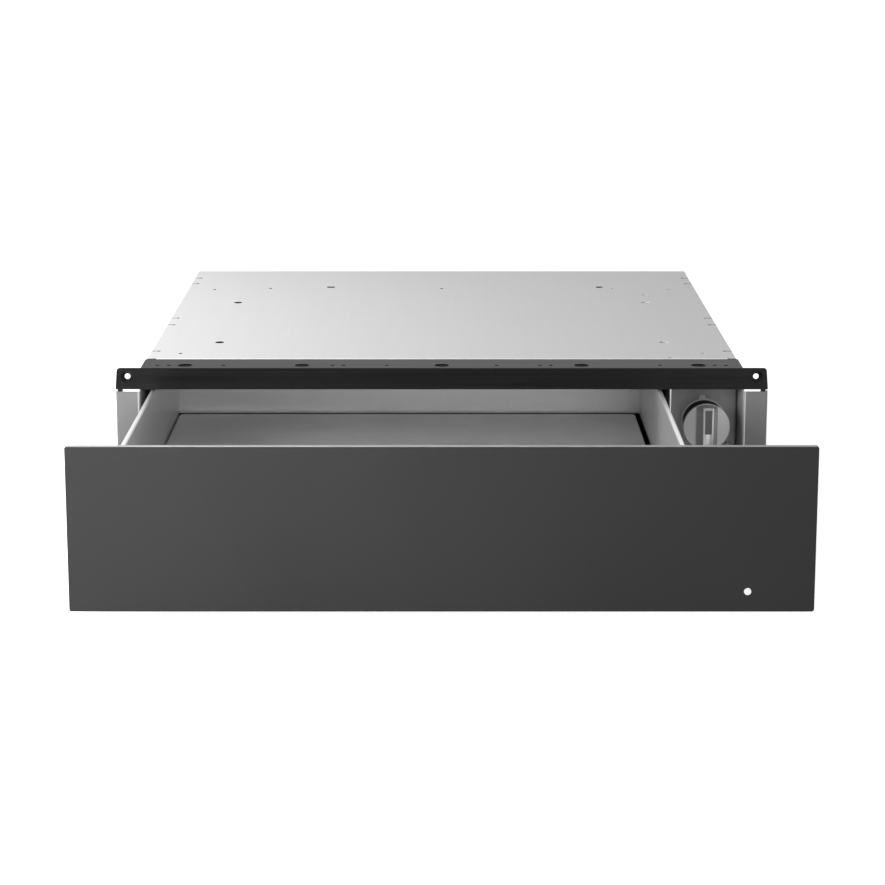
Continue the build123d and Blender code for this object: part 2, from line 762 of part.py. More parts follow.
# ---- Drawer ----
def front_panel():
    """The dark front panel with eased edges and the hole of the light guide."""
    panel = block((-front_half, front_half), (panel_front, panel_back), (front_bottom, front_top))
    panel = fillet(panel.edges().filter_by(Axis.Y), panel_corner)
    panel = chamfer(panel.faces().sort_by(Axis.Y)[0].edges(), panel_edge)
    hole_radius = guide_radius + running
    return panel - disc_y(knob_x, indicator_height, hole_radius, panel_front - past, panel_back + past)


def front_carrier():
    """The folded tray behind the front panel, open towards it."""
    half = front_half - carrier_side_inset
    low = front_bottom + carrier_foot_inset
    high = front_top - carrier_top_inset
    tray = block((-half, half), (panel_back, carrier_back), (low, high))
    tray = fillet(tray.edges().filter_by(Axis.Y), carrier_corner)
    inside = (sheet - half, half - sheet)
    hollow = block(inside, (panel_back - past, carrier_back - sheet), (low + sheet, high - sheet))
    tray -= fillet(hollow.edges().filter_by(Axis.Y), carrier_corner - sheet)
    through = (carrier_back - sheet - past, carrier_back + past)
    tray -= disc_y(knob_x, indicator_height, guide_radius + seat, *through)
    return tray - [disc_y(x, z, screw_radius + seat, *through) for x, z in front_screw_places]


def light_guide():
    """The clear rod that carries the lamp's light to the dot in the front."""
    radius, thickness = guide_collar
    guide = disc_y(knob_x, indicator_height, guide_radius, panel_front, carrier_back + guide_tail)
    guide = fillet(guide.edges().filter_by(GeomType.CIRCLE).sort_by(Axis.Y)[0], guide_edge)
    return guide + disc_y(knob_x, indicator_height, radius, carrier_back, carrier_back + thickness)


def drawer_pan():
    """The folded stainless pan: rimmed side walls, flat floor, end walls and a row of air slots."""
    half = pan_sheet / 2
    left = pan_wall_left - half
    right = pan_wall_right + half
    rim_z = pan_top - half
    floor_z = pan_floor + half
    points = (
        (pan_left + half, pan_top - pan_lip), (pan_left + half, rim_z), (left, rim_z), (left, floor_z),
        (right, floor_z), (right, rim_z), (pan_right - half, rim_z), (pan_right - half, pan_top - pan_lip),
    )
    radii = (rim_bend, rim_bend, pan_bend, pan_bend, rim_bend, rim_bend)
    section = trace(FilletPolyline(*points, radius=radii), line_width=pan_sheet)
    pan = along_y(section, carrier_back, pan_rear + pan_sheet)
    inner = Pos((pan_wall_left + pan_wall_right) / 2, (pan_floor_top + pan_top) / 2)
    inner = inner * Rectangle(pan_wall_right - pan_wall_left + half, pan_top - pan_floor_top + half)
    end = along_y(inner, 0, pan_sheet)
    through = (-past, 2 * pan_sheet)
    top_cut = block((pan_left, pan_right), through, (pan_top, pan_top + pan_height))
    below = (pan_floor - pan_bend, pan_floor_top)
    corner_cut = [block((x - 2 * pan_bend, x + 2 * pan_bend), through, below) for x in (left, right)]
    end = end - top_cut - corner_cut
    pan += Pos(0, carrier_back, 0) * end
    pan += Pos(0, pan_rear, 0) * end
    slot_width, slot_height = air_slot
    pitch = (pan_wall_right - pan_wall_left) / air_slot_count
    slot_z = pan_floor_top + support_height / 2
    for index in range(air_slot_count):
        x = pan_wall_left + (index + 0.5) * pitch
        slot = Pos(x, slot_z) * SlotOverall(slot_width, slot_height)
        pan -= along_y(slot, pan_rear - past, pan_rear + pan_sheet + past)
    through = (carrier_back - past, carrier_back + pan_sheet + past)
    return pan - [disc_y(x, z, screw_radius + seat, *through) for x, z in front_screw_places]


def floor_plate():
    """The plate that crockery stands on; warm air rises through the gaps round it."""
    plate = block(plate_x, plate_y, (plate_under, plate_top))
    plate = fillet(plate.edges().filter_by(Axis.Z), plate_corner)
    return chamfer(plate.faces().sort_by(Axis.Z)[-1].edges(), plate_edge)


def plate_supports():
    """Six pads between the pan and the floor plate."""
    columns = (plate_x[0] + support_inset, (plate_x[0] + plate_x[1]) / 2, plate_x[1] - support_inset)
    rows = (plate_y[0] + support_inset, plate_y[1] - support_inset)
    return group(disc_z(x, y, support_radius, pan_floor_top, plate_under) for x in columns for y in rows)


def front_buffers():
    """Four soft domes on the carrier that meet the ears if the drawer is pushed past shut."""
    solids = []
    for x in (buffer_inset - front_half, front_half - buffer_inset):
        for z in buffer_z:
            dome = disc_y(x, z, buffer_radius, carrier_back, carrier_back + buffer_height)
            rounded = dome.edges().filter_by(GeomType.CIRCLE).sort_by(Axis.Y)[-1]
            solids.append(fillet(rounded, buffer_height * 0.8))
    return group(solids)


def front_screws():
    """Screws from inside the pan into the carrier."""
    y = carrier_back + pan_sheet
    return group(Pos(x, y, z) * Rot(-90, 0, 0) * screw(front_screw) for x, z in front_screw_places)


def latch_striker():
    """The pad on the carrier that the latch plunger meets."""
    return disc_y(pan_middle, latch_height, striker_radius, carrier_back, striker_face)


# ---- Telescopic runners ----
def on_side(shape, side):
    """A runner piece drawn from its wall at X = 0 inwards, put on the left (-1) or right (1) wall."""
    wall = -side_inner if side < 0 else bay_wall_x
    turned = shape if side < 0 else mirrored(shape)
    return Pos(wall, 0, runner_centre) * turned


def channel(web, reach, half_height, facing):
    """A channel member: web at one depth from the wall, flanges to another; grooved later by its balls."""
    near = web + facing * runner_sheet / 2
    edge = half_height - runner_sheet / 2
    points = ((reach, edge), (near, edge), (near, -edge), (reach, -edge))
    return along_y(folded(points, runner_sheet, runner_fold), runner_start, runner_start + runner_length)


def raceways(row):
    """Round grooves along both ball rows of one gap."""
    start = runner_start - past
    end = runner_start + runner_length + past
    depth = race_depth[row]
    return [disc_y(depth, s * ball_offset[row], ball_radius + running, start, end) for s in (-1, 1)]


def runner_cabinet():
    """The case member, open towards the drawer."""
    return channel(0, runner_reach, runner_height / 2, 1) - raceways(0)


def runner_middle():
    """The intermediate member, nested in the case member on its balls."""
    return channel(middle_web, runner_reach, middle_half, 1) - raceways(0) - raceways(1)


def runner_drawer():
    """The drawer member, open towards the wall, nested in the intermediate member."""
    inner_reach = inner_cage_web + cage_sheet + cage_gap
    return channel(bracket_face, inner_reach, drawer_half, -1) - raceways(1)


def ball_places(row):
    """Where the balls of one cage stand: two rows, evenly spaced."""
    middle = runner_start + runner_length / 2
    pitch = cage_length / balls_per_row
    first = middle - pitch * (balls_per_row - 1) / 2
    return [
        (race_depth[row], first + index * pitch, side * ball_offset[row])
        for index in range(balls_per_row) for side in (-1, 1)
    ]


def ball_cage(row):
    """A channel-shaped strip that spaces two rows of balls."""
    web = (outer_cage_web, inner_cage_web)[row] + cage_sheet / 2
    reach = race_depth[row] + ball_radius + cage_reach
    offset = ball_offset[row]
    points = ((reach, offset), (web, offset), (web, -offset), (reach, -offset))
    middle = runner_start + runner_length / 2
    cage = along_y(folded(points, cage_sheet, cage_fold), middle - cage_length / 2, middle + cage_length / 2)
    return cage - [disc_z(x, y, ball_radius + seat, z - past, z + past) for x, y, z in ball_places(row)]


def balls(row):
    """The steel balls of one cage."""
    return group(Pos(*place) * Sphere(ball_radius) for place in ball_places(row))


def drawer_bracket():
    """An angle under the pan that stands on the drawer member's web."""
    leg = bracket_face + bracket_sheet / 2
    seat_z = pan_floor - bracket_sheet / 2 - runner_centre
    points = ((leg, -drawer_half), (leg, seat_z), (leg + bracket_width, seat_z))
    return along_y(folded(points, bracket_sheet, bracket_fold), runner_start, runner_start + runner_length)


# ---- Push latch ----
def latch_body():
    """The latch housing on the base, bored for its plunger."""
    width, length, height = latch_size
    body = block(
        (pan_middle - width / 2, pan_middle + width / 2),
        (latch_front, latch_front + length),
        (base_top, base_top + height),
    )
    body = fillet(body.edges().filter_by(Axis.Z), latch_corner)
    body = fillet(body.edges().group_by(Axis.Z)[-1], latch_corner / 2)
    bore_end = latch_front + plunger_tail + overtravel + past
    return body - disc_y(pan_middle, latch_height, plunger_radius + running, latch_front - past, bore_end)


def latch_plunger():
    """The sprung plunger with its rounded nose."""
    plunger = disc_y(pan_middle, latch_height, plunger_radius, plunger_tip, latch_front + plunger_tail)
    return fillet(plunger.edges().filter_by(GeomType.CIRCLE).sort_by(Axis.Y)[0], plunger_nose)


# ---- Hot-air blower ----
def duct_space(grow, start, end, mouth):
    """Scroll chamber, channel and outlet as one space, grown by a wall, between two ends."""
    low, high = outlet_height
    rear = back_inner - duct_wall + grow
    space = disc_x(fan_y, fan_height, chamber_radius + grow, start, end)
    space += block((start, end), (channel_front - grow, rear), (low - grow, fan_height))
    return space + block((start, end), (mouth, rear), (low - grow, high + grow))


def fan_housing():
    """The blower's scroll and duct: air in at the upper front, out below towards the pan's air slots."""
    shell = duct_space(duct_wall, duct_left - duct_wall, duct_right + duct_wall, duct_front)
    shell -= duct_space(0.0, duct_left, duct_right, duct_front - past)
    low, high = intake_height
    shell -= block(
        (duct_left + intake_inset, duct_right - intake_inset),
        (fan_y - chamber_radius - duct_wall - past, fan_y - chamber_radius * intake_share),
        (fan_height + low, fan_height + high),
    )
    outside = duct_left - duct_wall - past
    shell -= disc_x(fan_y, fan_height, shaft_radius + shaft_clearance, outside, duct_right + duct_wall + past)
    return shell - [disc_x(heater_y, z, heater_radius + seat, outside, duct_left + past) for z in heater_rows]


def blade(angle):
    """One forward-curved blade in section: a thin arc between the inner and outer circles."""
    tip_radius = wheel_radius - blade_sheet
    mean = (wheel_inner + wheel_radius) / 2
    outer_angle = angle + blade_sweep * pi / 180
    rise = (angle + outer_angle) / 2 - blade_bow * pi / 180
    start = (wheel_inner * cos(angle), wheel_inner * sin(angle))
    through = (mean * cos(rise), mean * sin(rise))
    tip = (tip_radius * cos(outer_angle), tip_radius * sin(outer_angle))
    return trace(ThreePointArc(start, through, tip), line_width=blade_sheet)


def fan_wheel():
    """The cross-flow wheel: a ring of curved blades between end discs, with a middle ring and hubs."""
    start, end = wheel_ends
    centre = Pos(fan_y, fan_height)
    blades = Sketch() + [blade(2 * pi * index / blade_count) for index in range(blade_count)]
    wheel = along_x(centre * blades, start, end)
    for x in (start, end - wheel_disc):
        wheel += disc_x(fan_y, fan_height, wheel_radius, x, x + wheel_disc)
    ring = centre * (Circle(wheel_radius) - Circle(wheel_inner - wheel_disc))
    middle = (start + end) / 2
    wheel += along_x(ring, middle - wheel_disc / 2, middle + wheel_disc / 2)
    wheel += disc_x(fan_y, fan_height, hub_radius, start, start + hub_length)
    wheel += disc_x(fan_y, fan_height, hub_radius, end - hub_length, end)
    for x in (start, end):
        wheel -= disc_x(fan_y, fan_height, shaft_radius, x - hub_length, x + hub_length)
    return wheel


def fan_stub_shaft():
    """The short pin in the wheel's far hub, carried by the bearing."""
    start = duct_left - duct_wall - bearing_size[1] + stub_inset
    return disc_x(fan_y, fan_height, shaft_radius, start, wheel_ends[0] + hub_length)


def fan_rotor():
    """The motor shaft with its rotor, one end in the wheel's hub."""
    half = stack_size[0] / 2
    end = stack_start + stack_size[0] + coil_overhang + bridge_size[0] + shaft_end
    shaft = disc_x(fan_y, fan_height, shaft_radius, wheel_ends[1] - hub_length, end)
    return shaft + disc_x(fan_y, fan_height, rotor_radius, rotor_middle - half, rotor_middle + half)


def fan_motor():
    """The shaded-pole motor's stator: laminations, coil, two bearing bridges and posts to the housing."""
    width, depth, height = stack_size
    high = fan_height + depth / 2
    low = high - height
    stack = block((stack_start, stack_start + width), (fan_y - depth / 2, fan_y + depth / 2), (low, high))
    stack = fillet(stack.edges().filter_by(Axis.X), stack_corner)
    bore = rotor_radius + air_gap
    stack -= disc_x(fan_y, fan_height, bore, stack_start - past, stack_start + width + past)
    coil_length, coil_depth, coil_height = coil_size
    coil = block(
        (rotor_middle - coil_length / 2, rotor_middle + coil_length / 2),
        (fan_y - coil_depth / 2, fan_y + coil_depth / 2),
        (low - coil_lap, low - coil_lap + coil_height),
    )
    motor = stack + fillet(coil.edges().filter_by(Axis.Y), stack_corner)
    bridge_sheet, bridge_depth, bridge_height = bridge_size
    rear = stack_start + width + coil_overhang
    for x in (stack_start - coil_overhang - bridge_sheet, rear):
        outline = Pos(fan_y, fan_height) * SlotOverall(bridge_height, bridge_depth)
        bridge = along_x(outline, x, x + bridge_sheet)
        motor += bridge - disc_x(fan_y, fan_height, shaft_radius + running, x - past, x + bridge_sheet + past)
    for y in (fan_y - post_spread, fan_y + post_spread):
        motor += disc_x(y, fan_height, post_radius, duct_right + duct_wall, stack_start)
        motor += disc_x(y, fan_height, post_radius, stack_start + width, rear)
    return motor


def fan_bearing():
    """The bush on the housing's far end plate."""
    radius, length = bearing_size
    end = duct_left - duct_wall
    bush = disc_x(fan_y, fan_height, radius, end - length, end)
    return bush - disc_x(fan_y, fan_height, shaft_radius + running, end - length - past, end + past)


def heating_element():
    """A sheathed hairpin heater across the duct, both ends out through the end plate."""
    low, high = heater_rows
    tail = duct_left - duct_wall - heater_tail
    bend_x = duct_right - heater_tail
    path = FilletPolyline(
        (tail, heater_y, high), (bend_x, heater_y, high), (bend_x, heater_y, low), (tail, heater_y, low),
        radius=(high - low) / 2 - seat,
    )
    tube = sweep(Plane(origin=path @ 0, z_dir=path % 0) * Circle(heater_radius), path=path)
    for z in heater_rows:
        tube += disc_x(heater_y, z, heater_pin[0], tail - heater_pin[1], tail)
    return tube


def thermal_cutout():
    """The snap-disc cut-out on the duct's front wall with its two terminals."""
    face = channel_front - duct_wall
    middle = (duct_left + duct_right) / 2
    z = (heater_rows[0] + heater_rows[1]) / 2
    disc = disc_y(middle, z, cutout_radius, face - cutout_height, face)
    disc = fillet(disc.edges().filter_by(GeomType.CIRCLE).sort_by(Axis.Y)[0], cutout_height / 5)
    reach, thickness, height = cutout_tab
    half = cutout_radius + reach
    depth = face - cutout_height / 2
    tabs = block((middle - half, middle + half), (depth - thickness, depth), (z - height / 2, z + height / 2))
    return disc + tabs


def case_screws():
    """Screws from outside through the side panels into the lid's tabs."""
    return group(
        Pos(side * side_outer, y, tab_screw_z) * Rot(0, side * 90, 0) * screw(tab_screw)
        for side in (-1, 1) for y in tab_places
    )


# ---- Every piece in its place ----
def place(name, shape, share=0.0):
    """Writes a piece: forward by its share of the opening, then into the row's frame."""
    export_step(Pos(0, -share * rest_opening - origin_y, 0) * shape, f"parts/{name}.step")


def main():
    os.makedirs("parts", exist_ok=True)
    side = cabinet_side()
    fixed = {
        "cabinet_top": cabinet_top(),
        "cabinet_side_left": mirrored(side),
        "cabinet_side_right": side,
        "cabinet_base": cabinet_base(),
        "cabinet_back": cabinet_back(),
        "front_rail": front_rail(),
        "feet": feet(),
        "case_screws": case_screws(),
        "bay_wall": bay_wall(),
        "control_panel": control_panel(),
        "knob_bezel": knob_bezel(),
        "panel_screws": panel_screws(),
        "thermostat": thermostat(),
        "indicator_lamp": indicator_lamp(),
        "terminal_block": terminal_block(),
        "cable_gland": cable_gland(),
        "latch_body": latch_body(),
        "fan_housing": fan_housing(),
        "fan_motor": fan_motor(),
        "fan_bearing": fan_bearing(),
        "heating_element": heating_element(),
        "thermal_cutout": thermal_cutout(),
        "knob": knob(),
        "knob_inlay": knob_inlay(),
        "thermostat_spindle": thermostat_spindle(),
        "fan_wheel": fan_wheel(),
        "fan_rotor": fan_rotor(),
        "fan_stub_shaft": fan_stub_shaft(),
        "latch_plunger": latch_plunger(),
    }
    drawer = {
        "front_panel": front_panel(),
        "front_carrier": front_carrier(),
        "light_guide": light_guide(),
        "drawer_pan": drawer_pan(),
        "floor_plate": floor_plate(),
        "plate_supports": plate_supports(),
        "front_buffers": front_buffers(),
        "front_screws": front_screws(),
        "latch_striker": latch_striker(),
        "drawer_brackets": group(on_side(drawer_bracket(), s) for s in (-1, 1)),
    }
    for name, shape in fixed.items():
        place(name, shape)
    for name, shape in drawer.items():
        place(name, shape, 1.0)
    for label, s in (("left", -1), ("right", 1)):
        place(f"runner_cabinet_{label}", on_side(runner_cabinet(), s))
        place(f"runner_middle_{label}", on_side(runner_middle(), s), 0.5)
        place(f"runner_drawer_{label}", on_side(runner_drawer(), s), 1.0)
        for row, share in ((0, 0.25), (1, 0.75)):
            span = ("outer", "inner")[row]
            place(f"ball_cage_{span}_{label}", on_side(ball_cage(row), s), share)
            place(f"balls_{span}_{label}", on_side(balls(row), s), share)


main()
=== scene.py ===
# %% [markdown]
# A built-in warming drawer, drawn out of its case
# ================================================
# Such a drawer is mostly folded sheet metal: a zinc-coated case that nobody sees once it is built in,
# a black rail across its front, a stainless pan on telescopic runners, and a dark front panel that
# carries no handle because the drawer opens by a push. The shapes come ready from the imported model,
# in metres and in their places. What is left for Blender is what the eye judges first: how each metal
# was rolled, ground or painted, how the light falls on it, and from where it is seen.

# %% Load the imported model
import math
import bmesh
import bpy
import numpy as np
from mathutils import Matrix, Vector


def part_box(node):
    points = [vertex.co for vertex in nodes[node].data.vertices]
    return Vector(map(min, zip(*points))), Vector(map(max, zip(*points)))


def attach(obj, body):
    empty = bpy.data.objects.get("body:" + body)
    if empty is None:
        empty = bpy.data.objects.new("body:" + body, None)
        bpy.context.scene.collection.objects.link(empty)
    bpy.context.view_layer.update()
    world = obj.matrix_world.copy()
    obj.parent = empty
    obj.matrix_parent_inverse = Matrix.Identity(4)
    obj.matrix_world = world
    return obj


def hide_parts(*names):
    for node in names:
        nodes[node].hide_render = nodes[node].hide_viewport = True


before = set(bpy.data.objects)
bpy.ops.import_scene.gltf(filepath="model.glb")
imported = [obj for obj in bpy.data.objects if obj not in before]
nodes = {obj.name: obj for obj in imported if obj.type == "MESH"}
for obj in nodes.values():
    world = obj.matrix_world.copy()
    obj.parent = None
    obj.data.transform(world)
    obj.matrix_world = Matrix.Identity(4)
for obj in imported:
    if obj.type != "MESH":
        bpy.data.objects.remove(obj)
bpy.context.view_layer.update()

mm = 0.001          # one millimetre, in the model's metres
X, Y, Z = 0, 1, 2   # the numbers of the axes


def size_in_mm(low, high):
    """The lengths of a box along X, Y and Z, from its lowest and its highest corner."""
    return [round((end - start) / mm, 1) for start, end in zip(low, high)]


# %% [markdown]
# A shader is arithmetic on numbers that change from point to point. Written as a list of nodes and
# links it is hard to read, so a small class lets Python's own signs add the Math nodes: `1 - mask`
# then means exactly that. Only numbers go this way. A Math node would turn a colour grey, so colours
# are mixed with Mix nodes, and sums of plain numbers stay in Python.

# %% A number that varies over a surface
class Varying:
    """A number in a material's node tree; each sign between two of them adds one Math node."""

    def __init__(self, finish, socket):
        self.finish = finish
        self.socket = socket

    def __add__(self, other):
        return self.finish.math("ADD", self, other)

    def __sub__(self, other):
        return self.finish.math("SUBTRACT", self, other)

    def __mul__(self, other):
        return self.finish.math("MULTIPLY", self, other)

    def __truediv__(self, other):
        return self.finish.math("DIVIDE", self, other)

    def __lt__(self, other):
        return self.finish.math("LESS_THAN", self, other)

    def __gt__(self, other):
        return self.finish.math("GREATER_THAN", self, other)

    def __radd__(self, other):
        return self.finish.math("ADD", other, self)

    def __rsub__(self, other):
        return self.finish.math("SUBTRACT", other, self)

    def __rmul__(self, other):
        return self.finish.math("MULTIPLY", other, self)

    def __rtruediv__(self, other):
        return self.finish.math("DIVIDE", other, self)


print("signs that add a Math node: + - * / < >")

# %% [markdown]
# Every finish of this object is one Principled surface. What is the same all over it, such as how
# metallic it is, is set on the shader's own socket. What changes from place to place is worked out
# from Object coordinates, which are real metres on the piece and stay with it when it moves. One
# method makes any other node from its type, its settings and what goes into its sockets, so that the
# recipes below read as recipes. The object has no hue of its own, so most colours are plain greys.

# %% A finish and its nodes
class Finish:
    """One material: a Principled surface and the nodes that vary it."""

    def __init__(self, name, **uniform):
        self.material = bpy.data.materials.new(name)
        self.material.use_nodes = True
        self.tree = self.material.node_tree
        self.tree.nodes.clear()
        output = self.tree.nodes.new("ShaderNodeOutputMaterial")
        self.surface = self.tree.nodes.new("ShaderNodeBsdfPrincipled")
        self.tree.links.new(self.surface.outputs["BSDF"], output.inputs["Surface"])
        for socket, value in uniform.items():
            self.surface.inputs[socket.replace("_", " ")].default_value = value
        self.place = self.node("ShaderNodeTexCoord").outputs["Object"]

    def feed(self, socket, value):
        """Links a socket to a varying number or to another socket, or sets it to a fixed value."""
        if isinstance(value, Varying):
            value = value.socket
        if isinstance(value, bpy.types.NodeSocket):
            self.tree.links.new(value, socket)
        else:
            socket.default_value = value

    def fed_by(self, socket):
        """What feeds one of the surface's sockets so far, so that more can be laid over it."""
        return self.surface.inputs[socket].links[0].from_socket

    def node(self, kind, settings=None, sockets=None):
        """A node of one type: its settings first, then what each socket, by name or number, takes."""
        made = self.tree.nodes.new(kind)
        for setting, value in (settings or {}).items():
            setattr(made, setting, value)
        for socket, value in (sockets or {}).items():
            self.feed(made.inputs[socket], value)
        return made

    def math(self, operation, first, second=0.0):
        """One Math node; called by name only for what has no sign, such as MAXIMUM."""
        made = self.node("ShaderNodeMath", {"operation": operation}, {0: first, 1: second})
        return Varying(self, made.outputs[0])

    def along(self, axis):
        """The place along one axis, in metres."""
        made = self.node("ShaderNodeSeparateXYZ", None, {0: self.place})
        return Varying(self, made.outputs[axis])

    def noise(self, scale, detail=3.0, roughness=0.55, stretch=(1.0, 1.0, 1.0)):
        """Cloudy noise between 0 and 1; the stretch is how many times finer it is along each axis."""
        space = self.node("ShaderNodeMapping", None, {"Vector": self.place, "Scale": stretch})
        made = self.node(
            "ShaderNodeTexNoise", {"noise_dimensions": "3D"},
            {"Vector": space.outputs["Vector"], "Scale": scale, "Detail": detail, "Roughness": roughness},
        )
        return Varying(self, made.outputs["Fac"])

    def spread(self, amount, low, high):
        """Noise keeps near one half, so its middle part, 0.3 to 0.7, is spread over low to high."""
        made = self.node(
            "ShaderNodeMapRange", {"clamp": True},
            {"Value": amount, "From Min": 0.3, "From Max": 0.7, "To Min": low, "To Max": high},
        )
        return Varying(self, made.outputs["Result"])

    def blend(self, factor, first, second):
        """One colour where the factor is 0, the other where it is 1."""
        take_first, take_second, mixed = 6, 7, 2    # a Mix node's sockets for colours, by number
        made = self.node(
            "ShaderNodeMix", {"data_type": "RGBA"}, {0: factor, take_first: first, take_second: second},
        )
        return made.outputs[mixed]

    def relief(self, height, strength, depth):
        """Fine relief from a height between 0 and 1, at most so many metres deep."""
        made = self.node("ShaderNodeBump", None, {"Height": height, "Strength": strength, "Distance": depth})
        self.feed(self.surface.inputs["Normal"], made.outputs["Normal"])

    def paint(self, colour=None, roughness=None, metallic=None):
        """Feeds the sockets that may vary over the surface."""
        for socket, value in (("Base Color", colour), ("Roughness", roughness), ("Metallic", metallic)):
            if value is not None:
                self.feed(self.surface.inputs[socket], value)


def grey(level):
    """A neutral colour of one level, opaque."""
    return (level, level, level, 1.0)


print("a grey of 0.5:", grey(0.5))

# %% [markdown]
# The case is zinc-coated steel. New zinc sheet is pale and satin rather than shiny, with faint long
# streaks that the rolling mill leaves along the sheet, and slow clouds where the coating took a
# little differently. Both are noise; the streaks are noise squeezed across the sheet, so that it
# stays long the other way. A photograph of spangled zinc would repeat, and noise never does.

# %% Zinc-coated sheet
def zinc_sheet(name, level, metallic=0.5, rough=0.42):
    """Zinc of one grey level; its tone is six parts of streaks along Y and four parts of clouds."""
    finish = Finish(name, Specular_IOR_Level=0.2)
    streaks = finish.noise(4.0, detail=4.0, stretch=(60.0, 1.5, 60.0))
    clouds = finish.noise(9.0, detail=2.0)
    tone = finish.spread(streaks * 0.6 + clouds * 0.4, 0.0, 1.0)
    finish.paint(
        colour=finish.blend(tone, grey(level * 0.965), grey(level * 1.02)),
        roughness=finish.spread(clouds, rough - 0.03, rough + 0.03) + streaks * 0.03,
        metallic=metallic,
    )
    finish.relief(streaks, strength=0.05, depth=0.4 * mm)
    return finish


inner_zinc = zinc_sheet("zinc_inner", 0.46).material
runner_zinc = zinc_sheet("zinc_runner", 0.40, rough=0.32).material
print("zinc finishes:", inner_zinc.name, runner_zinc.name)

# %% [markdown]
# The case's sides end at the front in a pair of ears, bent outwards. The flat of each ear is painted
# darker than the rest of the side, as painted shade, and both upright edges of each ear carry a thin
# painted highlight where the sheet is bent or cut. Masks find all this by how far a point is from the
# middle of the object, which is the size of X, and by how near the front it lies. One surface of zinc
# then serves the whole side.

# %% The sides, their ears, and the painted shade and highlights on the ears
side_low, side_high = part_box("cabinet_side_right")
lid_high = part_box("cabinet_top")[1]
wall_outside = lid_high.x + 1.1 * mm
side_metallic = 0.15

sides = zinc_sheet("zinc_sides", 0.31, metallic=side_metallic)
from_middle = sides.math("ABSOLUTE", sides.along(X))
at_front = sides.along(Y) < side_low.y + 1.5 * mm
on_ear = (from_middle > wall_outside + 0.1 * mm) * at_front
# painted highlights: thin pale lines along both upright edges of each ear
end = from_middle > side_high.x - 0.6 * mm
bend = (from_middle > wall_outside + 0.3 * mm) * (from_middle < wall_outside + 1.5 * mm)
edge_highlights = sides.math("MAXIMUM", end, bend) * at_front
# painted shade: the flat of each ear is blended towards near black, darker than the rest of the side
ears_with_shade = sides.blend(on_ear * 0.46, sides.fed_by("Base Color"), grey(0.02))
sides.paint(colour=sides.blend(edge_highlights, ears_with_shade, grey(0.52)), metallic=edge_highlights * 0.35 + side_metallic)
side_zinc = sides.material
print("ears, from x to x, mm:", round(wall_outside / mm, 1), round(side_high.x / mm, 1))

# %% [markdown]
# The lid is the same sheet, but its front strip, which goes under the rail, is blackened like the
# rail itself: through the rail's large holes one sees black, not zinc. The strip ends where the
# rail's flange ends, and that line is read from the model, so it is right whatever the sizes are. The
# fold just behind it carries a painted highlight, a near-white band. The small pierced holes are seen
# so flatly that all that shows of them is the cut edge of the sheet, and that edge is painted near
# black as painted shade. The mask for those edges asks for faces that look forwards or backwards and
# lie within the thickness of the sheet. On the right, the partition's flange lies close under the
# holes and keeps them light, so the mask leaves them out.

# %% The lid, its blackened front strip, and its painted highlight and shade
rail_low, rail_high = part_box("front_rail")
partition_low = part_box("bay_wall")[0]
strip_end = rail_high.y + 0.2 * mm
# near white, for the painted highlights on the lid's fold and on the partition's front edge
highlight_white = grey(0.95)
lid_metallic = 0.2

lid = zinc_sheet("zinc_lid", 0.485, metallic=lid_metallic)
across, back, up = lid.along(X), lid.along(Y), lid.along(Z)
in_strip = back < strip_end
# painted highlight: a band two millimetres wide on the fold just behind the strip
fold_highlight = (back < strip_end + 2.0 * mm) - in_strip
normal = lid.node("ShaderNodeTexCoord").outputs["Normal"]
facing = Varying(lid, lid.node("ShaderNodeSeparateXYZ", None, {0: normal}).outputs[Y])
in_sheet = (up < lid_high.z - 0.05 * mm) * (up > lid_high.z - 1.3 * mm)
# painted shade: the cut walls of the small holes are painted near black
hole_shade = (lid.math("ABSOLUTE", facing) > 0.6) * in_sheet
hole_shade = hole_shade * (back < lid_high.y - 1.0 * mm) * (1.0 - fold_highlight)
over_flange = (across > partition_low.x - 35.0 * mm) * (across < lid_high.x - 14.0 * mm)
hole_shade = hole_shade * (1.0 - over_flange)
# the blackened strip and the painted shade of the hole walls both take the near-black colour
dark = lid.math("MAXIMUM", in_strip, hole_shade)
lid.paint(
    colour=lid.blend(dark, lid.blend(fold_highlight, lid.fed_by("Base Color"), highlight_white), grey(0.004)),
    roughness=lid.math("MAXIMUM", Varying(lid, lid.fed_by("Roughness")), dark * 0.9),
    metallic=(1.0 - dark) * lid_metallic,
)
lid_zinc = lid.material
print("blackened strip ends at y, mm:", round(rail_high.y / mm, 1))

# %% [markdown]
# The front edge of the partition beside the control bay carries a painted highlight in the opening:
# a near-white band a millimetre wide, which a mask on the Y coordinate picks out.

# %% The partition and the painted highlight on its edge
partition = zinc_sheet("zinc_partition", 0.50)
# painted highlight: the partition's front edge is painted near white
partition_highlight = partition.along(Y) < partition_low.y + 0.8 * mm
partition.paint(colour=partition.blend(partition_highlight, partition.fed_by("Base Color"), highlight_white))
partition_zinc = partition.material
print("cut edge at y, mm:", round(partition_low.y / mm, 1))

# %% [markdown]
# The pan and the control panel are stainless steel with a fine ground finish. Belt grinding leaves
# parallel scratches, far too fine to see one by one at this distance: what shows is a satin sheen
# that is a little uneven along one direction. So the scratches are noise squeezed hard across
# themselves, and they move the shine and a very slight relief rather than the colour.

